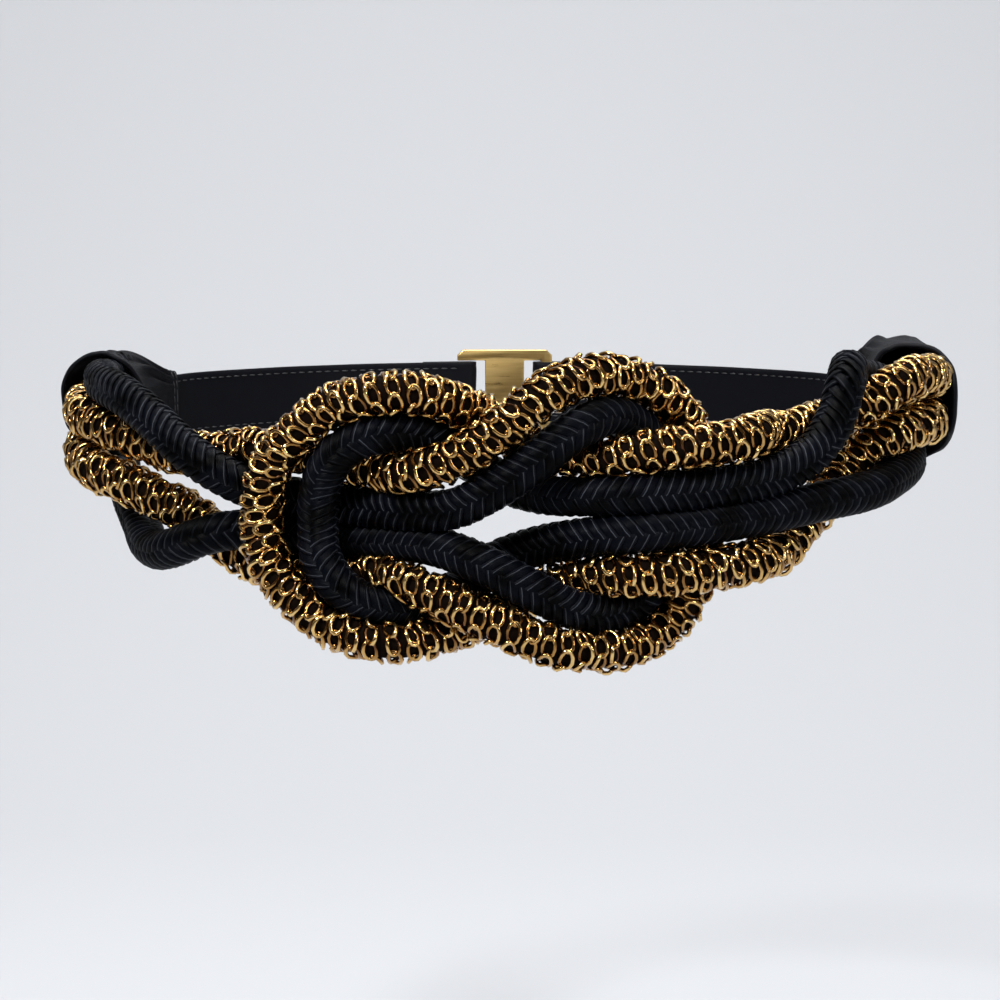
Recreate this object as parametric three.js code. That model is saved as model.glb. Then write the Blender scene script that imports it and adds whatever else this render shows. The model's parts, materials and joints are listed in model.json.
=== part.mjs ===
// Rope belt: a reef knot of two interlocked bights at the front, four rope ends gathered
// into a satin end cap at each side, and a plain satin strap from each cap to a hook at
// the centre of the back. Millimetres, +X to the viewer's right, +Y to the back, +Z up.
// The origin is the centre of the waist that the belt closes round.
import * as THREE from 'three';
import { mergeVertices } from 'three/addons/utils/BufferGeometryUtils.js';

// The waist, an outline of four arcs, and how the belt line hangs round it.
const WAIST_HALF_WIDTH = 125;
const WAIST_HALF_DEPTH = 94;
const WAIST_SIDE_RADIUS = 68;
const FRONT_DROP = 26;
const BACK_RISE = 5;
const LEVEL_FROM_AROUND = 222;

// The two kinds of rope: braided satin cord, and cord wrapped in curb chain.
const BLACK_ROPE_RADIUS = 5.3;
const GOLD_ROPE_RADIUS = 6.8;
const ROPE_SIDES = 12;
const ROPE_STEPS = 80;

// The satin end caps.
const FIT_GAP = 0.3;
const CAP_WALL = 1.4;
const POCKET_FLOOR_GAP = 1.5;
const CAP_MOUTH_AROUND = 177;
const CAP_NECK_AROUND = 210;
const CAP_CORNER_RADIUS = 5.5;
const CAP_NECK_ROUNDNESS = 0.9;
const CAP_FLAT_POINTS = 7;
const CAP_CORNER_POINTS = 5;
const SLOT_CORNER_RADIUS = 0.25;
const NECK_SLOT_DEPTH = 8;
const POCKET_STEPS = 3;

// The straps behind the waist. Like the hook they hang STRAP_DROP below the belt line.
const STRAP_WIDTH = 22;
const STRAP_DROP = 15;
const STRAP_THICKNESS = 1.6;
const STRAP_FOLD_BACK = 16;
const STRAP_STEP = 4;
const FOLD_STEPS = 6;

// The hook plate at the centre of the back.
const HOOK_THICKNESS = 2;
const HOOK_BAR = 4;
const HOOK_SLOT = 6;
const HOOK_MIDDLE_HALF = 7;
const HOOK_RIM = 4;
const HOOK_MOUTH = 3;
const HOOK_SLOT_SPARE = 0.5;

// Routes of the ropes. around_mm runs along the waist from the centre of the front, with
// plus to the right, up_mm is above the belt line, and lift_mm is how far the rope's
// centre stands off the waist.
const BIGHT_A_GOLD_ROUTE = [
  // around_mm, up_mm, lift_mm, and where the rope is pressed thinner, its share of the radius
  [188, 8.4, 18.2],
  [172, 8.4, 18.2],
  [160, 9, 18.4],
  [147, 12, 18.8],
  [134, 16, 19.2],
  [124, 16, 18.5],
  [115, 13.2, 14, 0.93],
  [106, 11.5, 9],
  [96, 11, 7],
  [87, 12, 8],
  [78, 14, 11.5],
  [70, 15, 19],
  [61, 15.2, 21.8],
  [48, 15.5, 21.8],
  [38, 14.8, 20, 0.96],
  [30, 13.2, 16, 0.88],
  [22, 12.8, 10.5, 0.88],
  [12, 13.8, 7.4],
  [2, 19.5, 7],
  [-8, 26, 8.5],
  [-18, 31, 14],
  [-32, 32.9, 20, 0.97],
  [-46, 28, 21.5],
  [-58, 17, 21.8],
  [-66, 3, 21.8],
  [-68, -10, 20.5],
  [-66.5, -20, 21.6],
  [-59, -30.5, 21.8],
  [-47, -40, 20.6, 0.91],
  [-33, -43, 20, 0.9],
  [-22, -42.3, 14, 0.87],
  [-12, -39.3, 8, 0.91],
  [-3, -35, 7],
  [5, -30.2, 7],
  [14, -26.3, 8, 0.9],
  [22, -23.2, 12, 0.84],
  [32, -22.8, 18, 0.94],
  [44, -22.8, 21.5],
  [56, -23, 21.8],
  [68, -23, 21],
  [80, -23.5, 15],
  [91.5, -21.6, 8.8],
  [102, -16.8, 7],
  [111.5, -8.4, 7.6],
  [119, -3.6, 10.5],
  [127, -0.5, 15.5],
  [140, -1.5, 18],
  [156, -5, 18.2],
  [172, -6, 18.2],
  [188, -6, 18.2],
];
const BIGHT_A_BLACK_ROUTE = [
  // around_mm, up_mm, lift_mm, and where the rope is pressed thinner, its share of the radius
  [188, 1.2, 7],
  [172, 1.2, 7],
  [158, 3, 6],
  [146, 8, 5.5],
  [134, 14.5, 5.5],
  [124, 18.8, 5.6],
  [117, 23.4, 7.6, 0.92],
  [109, 25.8, 14],
  [101.8, 22.8, 19.5],
  [96.8, 14, 20.8],
  [89, 5.9, 20.4],
  [75.5, 1.8, 20],
  [60, 1.8, 19.8],
  [46, 1.8, 19.8],
  [33, 1.7, 18, 0.95],
  [21, 1.2, 13, 0.93],
  [10, 1.6, 6.6],
  [-1, 5, 5.5],
  [-11, 12, 5.5],
  [-21, 19.5, 9.5],
  [-34, 20.4, 17.5],
  [-44, 14.8, 20],
  [-50.5, 4, 19],
  [-52, -9, 18],
  [-50.5, -18.5, 20],
  [-44, -28.2, 20],
  [-33.5, -33.4, 15, 0.72],
  [-23, -33, 7.5, 0.76],
  [-13, -27, 5.4, 0.88],
  [-3, -19.5, 5.5],
  [8, -15, 7],
  [20, -11.8, 12.5, 0.95],
  [34, -10.1, 18.5],
  [52, -9.4, 19.8],
  [72, -9.4, 19.8],
  [92, -10, 20.2],
  [108, -12, 20.6],
  [117, -12.8, 20],
  [127, -13.6, 17.5],
  [140, -14.9, 14.5],
  [156, -15.6, 11],
  [172, -15.2, 9],
  [188, -15.2, 9],
];
const BIGHT_B_GOLD_ROUTE = [
  // around_mm, up_mm, lift_mm, and where the rope is pressed thinner, its share of the radius
  [-188, -4.6, 18.2],
  [-172, -4.6, 18.2],
  [-156, -3, 18.2],
  [-144, -1, 17],
  [-134, 0, 15],
  [-124, -0.5, 11.5],
  [-114, -1, 8],
  [-102, 1.5, 7],
  [-91, 4.5, 7],
  [-83, 7.2, 7],
  [-75, 9.8, 7],
  [-66, 10.4, 7],
  [-56, 10, 7],
  [-47, 9.5, 7],
  [-36, 8.5, 10.5],
  [-25, 9.5, 17.8],
  [-12, 14.5, 21.2],
  [0, 24, 21.8],
  [10, 33, 20],
  [22, 37.7, 13],
  [35.5, 36.2, 8],
  [47, 29.8, 7],
  [55.6, 18.6, 7],
  [60, 5, 7],
  [60.4, -9, 7],
  [58.6, -24.5, 7],
  [53.5, -36, 7.3],
  [42, -44.3, 10, 0.95],
  [28, -46.2, 15, 0.94],
  [14, -43.6, 20.5, 0.96],
  [0, -37.6, 21.6],
  [-12, -31.5, 20.5],
  [-24, -25.8, 17.4, 0.84],
  [-36, -23.8, 11, 0.78],
  [-47, -25.5, 7, 0.85],
  [-58, -26.8, 7, 0.92],
  [-70, -27.2, 7, 0.95],
  [-80, -26.8, 7],
  [-90, -23.2, 7],
  [-102, -18.5, 8.5],
  [-114, -16.5, 12],
  [-124, -15.6, 14.3],
  [-136, -15.5, 17.4],
  [-148, -16.8, 17.8],
  [-160, -18, 17.8],
  [-172, -19.2, 18.2],
  [-188, -19.2, 18.2],
];
const BIGHT_B_BLACK_ROUTE = [
  // around_mm, up_mm, lift_mm, and where the rope is pressed thinner, its share of the radius
  [-188, 4.5, 9],
  [-172, 4.5, 9],
  [-156, 9, 10.5],
  [-144, 12, 13.5],
  [-132, 14, 17],
  [-120, 14.5, 19.2],
  [-108, 12, 20.2],
  [-97, 7.2, 20.6],
  [-89, 3.5, 20],
  [-82, 0, 17],
  [-77, -2.6, 12.5],
  [-71, -4, 7.6],
  [-62, -4, 5.6],
  [-49, -4, 5.6],
  [-38, -3.8, 8],
  [-26, -3.3, 13],
  [-14, -1.7, 18],
  [-3, 4.6, 20.3],
  [8, 13.3, 20.8],
  [18, 21.6, 19],
  [28, 25.6, 13, 0.95],
  [36.3, 22.8, 7.8],
  [43.8, 15.2, 5.8],
  [47, 4, 5.5],
  [47.1, -12, 5.5],
  [45, -25, 5.8],
  [38.5, -32.8, 7.5],
  [28, -34.8, 12.5, 0.95],
  [18, -32.4, 18, 0.97],
  [7, -26, 20.6],
  [-5, -19, 19.5],
  [-17, -14.4, 15, 0.95],
  [-30, -13.6, 9, 0.86],
  [-44, -15, 5.4, 0.82],
  [-60, -15.4, 5.5, 0.92],
  [-70, -15.3, 7.2, 0.92],
  [-77, -15.8, 12.5],
  [-82, -17, 17],
  [-89, -20.3, 20],
  [-98, -26, 20],
  [-108.5, -30.8, 16.5],
  [-119, -32.4, 12],
  [-129.5, -31, 7],
  [-140, -26.2, 5.5],
  [-151, -19.3, 5.5],
  [-163, -12.5, 6],
  [-174, -11.8, 7],
  [-188, -11.8, 7],
];

// How each end cap narrows from the rope bundle to the strap: along is the share of the
// way from mouth to neck, narrowing blends the two sections, fullness swells them.
const CAP_SECTIONS = [
  { along: 0, narrowing: 0, fullness: 1, pleat: 0 },
  { along: 0.1, narrowing: 0, fullness: 1.02, pleat: 0.3 },
  { along: 0.38, narrowing: 0, fullness: 1.02, pleat: 0.5 },
  { along: 0.5, narrowing: 0.18, fullness: 1.01, pleat: 0.8 },
  { along: 0.62, narrowing: 0.5, fullness: 1, pleat: 1 },
  { along: 0.76, narrowing: 0.82, fullness: 1, pleat: 0.8 },
  { along: 0.88, narrowing: 0.96, fullness: 1.02, pleat: 0.4 },
  { along: 1, narrowing: 1, fullness: 1, pleat: 0 },
];

// Sizes that follow from the ones above.
const FRONT_ARC_RADIUS = (WAIST_HALF_WIDTH ** 2 + WAIST_HALF_DEPTH ** 2
  - 2 * WAIST_HALF_WIDTH * WAIST_SIDE_RADIUS) / (2 * (WAIST_HALF_DEPTH - WAIST_SIDE_RADIUS));
const FRONT_ARC_ANGLE = Math.atan2(
  WAIST_HALF_WIDTH - WAIST_SIDE_RADIUS, FRONT_ARC_RADIUS - WAIST_HALF_DEPTH);
const FRONT_ARC_LENGTH = FRONT_ARC_RADIUS * FRONT_ARC_ANGLE;
const SIDE_ARC_LENGTH = WAIST_SIDE_RADIUS * (Math.PI - 2 * FRONT_ARC_ANGLE);
const HALF_WAIST_LENGTH = 2 * FRONT_ARC_LENGTH + SIDE_ARC_LENGTH;
const STRAP_LIFT = CAP_WALL + 2 * FIT_GAP + STRAP_THICKNESS / 2;
const HOOK_LIFT = STRAP_LIFT + STRAP_THICKNESS / 2 + FIT_GAP + HOOK_THICKNESS / 2;

const BLACK_CORD = new THREE.MeshStandardMaterial({
  name: 'black_cord', color: 0x0d0e14, roughness: 0.45, metalness: 0 });
const GOLD_CHAIN = new THREE.MeshStandardMaterial({
  name: 'gold_chain', color: 0xb98a2e, roughness: 0.25, metalness: 1 });
const BLACK_SATIN = new THREE.MeshStandardMaterial({
  name: 'black_satin', color: 0x101118, roughness: 0.4, metalness: 0 });
const HOOK_BRASS = new THREE.MeshStandardMaterial({
  name: 'hook_brass', color: 0xb08a3c, roughness: 0.3, metalness: 1 });

// The point that lies around_mm along the waist, up_mm above the belt line and lift_mm
// off the waist. Around, up and lift are a right-handed set.
function onWaist(around, up, lift) {
  const side = around < 0 ? -1 : 1;
  const distance = Math.abs(around);
  let turn;
  let centreX = 0;
  let centreY = FRONT_ARC_RADIUS - WAIST_HALF_DEPTH;
  let radius = FRONT_ARC_RADIUS;
  if (distance < FRONT_ARC_LENGTH) {
    turn = distance / FRONT_ARC_RADIUS;
  } else if (distance < FRONT_ARC_LENGTH + SIDE_ARC_LENGTH) {
    turn = FRONT_ARC_ANGLE + (distance - FRONT_ARC_LENGTH) / WAIST_SIDE_RADIUS;
    centreX = WAIST_HALF_WIDTH - WAIST_SIDE_RADIUS;
    centreY = 0;
    radius = WAIST_SIDE_RADIUS;
  } else {
    const past = distance - FRONT_ARC_LENGTH - SIDE_ARC_LENGTH;
    turn = Math.PI - FRONT_ARC_ANGLE + past / FRONT_ARC_RADIUS;
    centreY = -centreY;
  }
  return new THREE.Vector3(
    side * (centreX + (radius + lift) * Math.sin(turn)),
    centreY - (radius + lift) * Math.cos(turn),
    up - FRONT_DROP + (FRONT_DROP + BACK_RISE)
      * Math.sin(Math.PI / 2 * Math.min(1, distance / LEVEL_FROM_AROUND)) ** 3);
}

// Carries a geometry made with x around, y up and z off the waist onto the waist.
function wrapOnWaist(geometry) {
  const place = geometry.attributes.position;
  for (let i = 0; i < place.count; i += 1) {
    const point = onWaist(place.getX(i), place.getY(i), place.getZ(i));
    place.setXYZ(i, point.x, point.y, point.z);
  }
  return geometry;
}

// A smooth curve through the rows of a route, carried onto the waist.
class RopeRoute extends THREE.Curve {
  constructor(rows) {
    super();
    this.rows = new THREE.CatmullRomCurve3(
      rows.map(([around, up, lift]) => new THREE.Vector3(around, up, lift)));
    this.arcLengthDivisions = 600;
  }

  getPoint(share, target = new THREE.Vector3()) {
    const row = this.rows.getPoint(share);
    return target.copy(onWaist(row.x, row.y, row.z));
  }
}

// A rope: rings of equal sides at even steps along its route, thinner where it is squeezed.
function makeRope(rows, radius) {
  const route = new RopeRoute(rows);
  const frames = route.computeFrenetFrames(ROPE_STEPS, false);
  const rings = [];
  for (let step = 0; step <= ROPE_STEPS; step += 1) {
    const share = route.getUtoTmapping(step / ROPE_STEPS);
    const middle = route.getPoint(share);
    const row = Math.min(share * (rows.length - 1), rows.length - 1.001);
    const squeezes = [0, 1].map((next) => rows[Math.floor(row) + next][3] ?? 1);
    const reach = radius * THREE.MathUtils.lerp(...squeezes, row % 1);
    const ring = [];
    for (let i = 0; i < ROPE_SIDES; i += 1) {
      const angle = 2 * Math.PI * i / ROPE_SIDES;
      const corner = middle.clone()
        .addScaledVector(frames.normals[step], reach * Math.cos(angle))
        .addScaledVector(frames.binormals[step], reach * Math.sin(angle));
      ring.push(corner.toArray());
    }
    rings.push(ring);
  }
  return loftRings(rings);
}

// A ring of points round a rectangle with rounded corners, at one place along the belt,
// with every other point pushed out by the pleat.
function makeRing(around, middle, half, corner, pleat) {
  const cornerPoint = (quarter, angle) => ({
    up: [1, 1, -1, -1][quarter] * (half.up - corner) + corner * Math.sin(angle),
    lift: [1, -1, -1, 1][quarter] * (half.lift - corner) + corner * Math.cos(angle),
  });
  const ring = [];
  const addPoint = (point, angle) => {
    const out = ring.length % 2 === 0 ? pleat : 0;
    ring.push([around,
      middle.up + point.up + out * Math.sin(angle),
      middle.lift + point.lift + out * Math.cos(angle)]);
  };
  for (let quarter = 0; quarter < 4; quarter += 1) {
    const angle = quarter * Math.PI / 2;
    const start = cornerPoint((quarter + 3) % 4, angle);
    const end = cornerPoint(quarter, angle);
    for (let i = 0; i < CAP_FLAT_POINTS; i += 1) {
      addPoint({
        up: THREE.MathUtils.lerp(start.up, end.up, i / CAP_FLAT_POINTS),
        lift: THREE.MathUtils.lerp(start.lift, end.lift, i / CAP_FLAT_POINTS),
      }, angle);
    }
    for (let i = 0; i < CAP_CORNER_POINTS; i += 1) {
      const turned = angle + Math.PI / 2 * i / CAP_CORNER_POINTS;
      addPoint(cornerPoint(quarter, turned), turned);
    }
  }
  return ring;
}

// A closed body through a chain of rings that turn the right-hand way about the way they
// follow each other, with a flat end on the first and the last.
function loftRings(rings) {
  const count = rings[0].length;
  const corners = rings.flat(2);
  const faces = [];
  for (let r = 0; r < rings.length - 1; r += 1) {
    for (let i = 0; i < count; i += 1) {
      const next = (i + 1) % count;
      const a = r * count + i;
      const b = r * count + next;
      faces.push(a, b, b + count, a, b + count, a + count);
    }
  }
  for (const [first, flip] of [[0, false], [(rings.length - 1) * count, true]]) {
    const ring = rings[first / count];
    const middle = corners.length / 3;
    corners.push(ring[0][0],
      ring.reduce((sum, point) => sum + point[1], 0) / count,
      ring.reduce((sum, point) => sum + point[2], 0) / count);
    for (let i = 0; i < count; i += 1) {
      const next = (i + 1) % count;
      faces.push(middle, first + (flip ? i : next), first + (flip ? next : i));
    }
  }
  const geometry = new THREE.BufferGeometry();
  geometry.setAttribute('position', new THREE.Float32BufferAttribute(corners, 3));
  geometry.setIndex(faces);
  return geometry;
}

// An end cap: a pocket at its mouth for the rope ends, and a slot at its neck for the
// strap. ends lists the last row of each rope on that side, with its radius.
function makeEndCap(side, ends) {
  const low = Math.min(...ends.map((end) => end.row[1] - end.radius));
  const high = Math.max(...ends.map((end) => end.row[1] + end.radius));
  const near = Math.min(...ends.map((end) => end.row[2] - end.radius));
  const far = Math.max(...ends.map((end) => end.row[2] + end.radius));
  const ropeEnd = Math.max(...ends.map((end) => Math.abs(end.row[0])));
  const bundle = { up: (low + high) / 2, lift: (near + far) / 2 };
  const pocket = { up: (high - low) / 2 + FIT_GAP, lift: (far - near) / 2 + FIT_GAP };
  const strap = { up: -STRAP_DROP, lift: STRAP_LIFT };
  const slot = { up: STRAP_WIDTH / 2 + FIT_GAP, lift: STRAP_THICKNESS / 2 + FIT_GAP };
  const neckCorner = (slot.lift + CAP_WALL) * CAP_NECK_ROUNDNESS;
  const rings = [];
  for (let i = 0; i <= POCKET_STEPS; i += 1) {
    const around = THREE.MathUtils.lerp(
      ropeEnd + POCKET_FLOOR_GAP, CAP_MOUTH_AROUND, i / POCKET_STEPS);
    rings.push(makeRing(side * around, bundle, pocket, CAP_CORNER_RADIUS, 0));
  }
  for (const section of CAP_SECTIONS) {
    const blend = (from, to) => THREE.MathUtils.lerp(from, to, section.narrowing);
    rings.push(makeRing(
      side * (CAP_MOUTH_AROUND + section.along * (CAP_NECK_AROUND - CAP_MOUTH_AROUND)),
      { up: blend(bundle.up, strap.up), lift: blend(bundle.lift, strap.lift) },
      { up: blend(pocket.up + CAP_WALL, slot.up + CAP_WALL) * section.fullness,
        lift: blend(pocket.lift + CAP_WALL, slot.lift + CAP_WALL) * section.fullness },
      blend(CAP_CORNER_RADIUS + CAP_WALL, neckCorner), section.pleat));
  }
  for (let i = 0; i <= POCKET_STEPS; i += 1) {
    const around = CAP_NECK_AROUND - NECK_SLOT_DEPTH * i / POCKET_STEPS;
    rings.push(makeRing(side * around, strap, slot, SLOT_CORNER_RADIUS, 0));
  }
  return wrapOnWaist(loftRings(side > 0 ? rings.map((ring) => ring.reverse()) : rings));
}

// A strap: from inside the cap's neck, under the hook's bar, up through its slot and
// back over the bar. Each station is a place on the strap's middle line and its heading.
function makeStrap(side) {
  const barInner = HALF_WAIST_LENGTH - HOOK_MIDDLE_HALF - HOOK_SLOT;
  const start = CAP_NECK_AROUND - NECK_SLOT_DEPTH + FIT_GAP;
  const foldRadius = HOOK_LIFT - STRAP_LIFT;
  const stations = [];
  const runs = Math.max(2, Math.round((barInner - start) / STRAP_STEP));
  for (let i = 0; i < runs; i += 1) {
    const around = THREE.MathUtils.lerp(start, barInner, i / runs);
    stations.push({ around, lift: STRAP_LIFT, heading: 0 });
  }
  for (let i = 0; i < FOLD_STEPS; i += 1) {
    const heading = Math.PI * i / FOLD_STEPS;
    stations.push({
      around: barInner + foldRadius * Math.sin(heading),
      lift: HOOK_LIFT - foldRadius * Math.cos(heading),
      heading,
    });
  }
  const foldRuns = Math.max(1, Math.round(STRAP_FOLD_BACK / STRAP_STEP));
  for (let i = 0; i <= foldRuns; i += 1) {
    const around = barInner - STRAP_FOLD_BACK * i / foldRuns;
    stations.push({ around, lift: HOOK_LIFT + foldRadius, heading: Math.PI });
  }
  const corners = [[-1, -1], [1, -1], [1, 1], [-1, 1]];
  const rings = stations.map(({ around, lift, heading }) => corners.map(([up, out]) => [
    side * (around - out * STRAP_THICKNESS / 2 * Math.sin(heading)),
    up * STRAP_WIDTH / 2 - STRAP_DROP,
    lift + out * STRAP_THICKNESS / 2 * Math.cos(heading),
  ]));
  return wrapOnWaist(loftRings(side > 0 ? rings : rings.map((ring) => ring.reverse())));
}

// The hook plate: a closed slot for one strap, and for the other a bar that is open at
// the top, so that the strap's loop slips off it.
function makeHook() {
  const slotHalf = STRAP_WIDTH / 2 + HOOK_SLOT_SPARE;
  const halfHeight = slotHalf + HOOK_RIM;
  const slotFar = HOOK_MIDDLE_HALF + HOOK_SLOT;
  const halfWidth = slotFar + HOOK_BAR;
  const barTop = slotHalf - HOOK_MOUTH;
  const plate = new THREE.Shape([
    [-halfWidth, -halfHeight + HOOK_RIM / 2], [-halfWidth + HOOK_RIM / 2, -halfHeight],
    [halfWidth - HOOK_RIM / 2, -halfHeight], [halfWidth, -halfHeight + HOOK_RIM / 2],
    [halfWidth, barTop], [slotFar, barTop], [slotFar, -slotHalf],
    [HOOK_MIDDLE_HALF, -slotHalf], [HOOK_MIDDLE_HALF, slotHalf], [halfWidth, slotHalf],
    [halfWidth, halfHeight - HOOK_RIM / 2], [halfWidth - HOOK_RIM / 2, halfHeight],
    [-halfWidth + HOOK_RIM / 2, halfHeight], [-halfWidth, halfHeight - HOOK_RIM / 2],
  ].map(([around, up]) => new THREE.Vector2(around, up)));
  plate.holes.push(new THREE.Path([
    [-slotFar, -slotHalf], [-slotFar, slotHalf],
    [-HOOK_MIDDLE_HALF, slotHalf], [-HOOK_MIDDLE_HALF, -slotHalf],
  ].map(([around, up]) => new THREE.Vector2(around, up))));
  const hook = new THREE.ExtrudeGeometry(plate, {
    steps: 1, depth: HOOK_THICKNESS, bevelEnabled: false });
  hook.translate(HALF_WAIST_LENGTH, -STRAP_DROP, HOOK_LIFT - HOOK_THICKNESS / 2);
  return wrapOnWaist(hook);
}

const belt = new THREE.Group();

function addPiece(name, geometry, material) {
  geometry.deleteAttribute('normal');
  geometry.deleteAttribute('uv');
  const piece = new THREE.Mesh(mergeVertices(geometry), material);
  piece.name = name;
  belt.add(piece);
}

const GOLD_ROPE = { radius: GOLD_ROPE_RADIUS, finish: GOLD_CHAIN };
const BLACK_ROPE = { radius: BLACK_ROPE_RADIUS, finish: BLACK_CORD };
const ROPES = [
  { name: 'bight_a_gold_rope', rows: BIGHT_A_GOLD_ROUTE, ...GOLD_ROPE },
  { name: 'bight_a_black_rope', rows: BIGHT_A_BLACK_ROUTE, ...BLACK_ROPE },
  { name: 'bight_b_gold_rope', rows: BIGHT_B_GOLD_ROUTE, ...GOLD_ROPE },
  { name: 'bight_b_black_rope', rows: BIGHT_B_BLACK_ROUTE, ...BLACK_ROPE },
];
for (const rope of ROPES) addPiece(rope.name, makeRope(rope.rows, rope.radius), rope.finish);

for (const [word, side] of [['left', -1], ['right', 1]]) {
  const ends = ROPES.flatMap((rope) => [rope.rows[0], rope.rows[rope.rows.length - 1]]
    .filter((row) => Math.sign(row[0]) === side)
    .map((row) => ({ row, radius: rope.radius })));
  addPiece(`end_cap_${word}`, makeEndCap(side, ends), BLACK_SATIN);
  addPiece(`back_strap_${word}`, makeStrap(side), BLACK_SATIN);
}
addPiece('hook', makeHook(), HOOK_BRASS);

export default belt;
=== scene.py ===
# Rope belt: a reef knot of gold and black ropes, satin end caps, satin straps and a hook.
# Metres, +X to the right, +Y to the back, +Z up. The origin is the centre of the waist.
import json
import math

import bpy
import numpy as np
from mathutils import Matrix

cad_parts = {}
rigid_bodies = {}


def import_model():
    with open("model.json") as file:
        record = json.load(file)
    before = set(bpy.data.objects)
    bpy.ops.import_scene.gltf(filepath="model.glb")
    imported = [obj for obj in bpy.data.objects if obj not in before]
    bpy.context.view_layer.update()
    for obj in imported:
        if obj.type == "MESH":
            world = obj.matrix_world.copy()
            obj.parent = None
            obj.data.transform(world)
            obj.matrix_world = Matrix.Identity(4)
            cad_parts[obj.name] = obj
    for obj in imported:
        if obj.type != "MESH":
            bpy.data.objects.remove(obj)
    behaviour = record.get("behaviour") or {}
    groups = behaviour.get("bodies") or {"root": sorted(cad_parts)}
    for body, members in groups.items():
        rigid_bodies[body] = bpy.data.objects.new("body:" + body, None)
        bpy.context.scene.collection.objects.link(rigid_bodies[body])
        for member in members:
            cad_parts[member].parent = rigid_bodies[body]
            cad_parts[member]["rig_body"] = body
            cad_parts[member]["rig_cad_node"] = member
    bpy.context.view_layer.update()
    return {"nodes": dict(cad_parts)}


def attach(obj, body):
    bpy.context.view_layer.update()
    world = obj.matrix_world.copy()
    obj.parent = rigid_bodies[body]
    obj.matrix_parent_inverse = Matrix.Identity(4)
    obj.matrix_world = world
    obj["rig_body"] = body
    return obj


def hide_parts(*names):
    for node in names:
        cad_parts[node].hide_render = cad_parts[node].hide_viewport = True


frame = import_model()

# The camera stands in front of the knot and looks down on it a little, from a metre away.
camera_lens = bpy.data.cameras.new("camera")
camera_lens.lens = 105.9
camera_lens.sensor_width = 36
camera = bpy.data.objects.new("camera", camera_lens)
camera.location = (-0.0017, -0.9926, 0.0832)
camera.rotation_euler = (math.radians(83), 0, 0)
bpy.context.scene.collection.objects.link(camera)
bpy.context.scene.camera = camera

# The gold ropes are the outer rope of each bight: a black cord with a curb chain of brass
# wire wound round it, turn beside turn. Their routes follow the waist. A row is the place
# along the waist, the height above the belt line, the stand-off, and any squeeze.
BIGHT_A_GOLD_ROUTE = [
    (0.188, 0.0084, 0.0182), (0.172, 0.0084, 0.0182), (0.16, 0.009, 0.0184), (0.147, 0.012, 0.0188),
    (0.134, 0.016, 0.0192), (0.124, 0.016, 0.0185), (0.115, 0.0132, 0.014, 0.93),
    (0.106, 0.0115, 0.009), (0.096, 0.011, 0.007), (0.087, 0.012, 0.008), (0.078, 0.014, 0.0115),
    (0.07, 0.015, 0.019), (0.061, 0.0152, 0.0218), (0.048, 0.0155, 0.0218),
    (0.038, 0.0148, 0.02, 0.96), (0.03, 0.0132, 0.016, 0.88), (0.022, 0.0128, 0.0105, 0.88),
    (0.012, 0.0138, 0.0074), (0.002, 0.0195, 0.007), (-0.008, 0.026, 0.0085),
    (-0.018, 0.031, 0.014), (-0.032, 0.0329, 0.02, 0.97), (-0.046, 0.028, 0.0215),
    (-0.058, 0.017, 0.0218), (-0.066, 0.003, 0.0218), (-0.068, -0.01, 0.0205),
    (-0.0665, -0.02, 0.0216), (-0.059, -0.0305, 0.0218), (-0.047, -0.04, 0.0206, 0.91),
    (-0.033, -0.043, 0.02, 0.9), (-0.022, -0.0423, 0.014, 0.87), (-0.012, -0.0393, 0.008, 0.91),
    (-0.003, -0.035, 0.007), (0.005, -0.0302, 0.007), (0.014, -0.0263, 0.008, 0.9),
    (0.022, -0.0232, 0.012, 0.84), (0.032, -0.0228, 0.018, 0.94), (0.044, -0.0228, 0.0215),
    (0.056, -0.023, 0.0218), (0.068, -0.023, 0.021), (0.08, -0.0235, 0.015),
    (0.0915, -0.0216, 0.0088), (0.102, -0.0168, 0.007), (0.1115, -0.0084, 0.0076),
    (0.119, -0.0036, 0.0105), (0.127, -0.0005, 0.0155), (0.14, -0.0015, 0.018),
    (0.156, -0.005, 0.0182), (0.172, -0.006, 0.0182), (0.188, -0.006, 0.0182),
]
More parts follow.
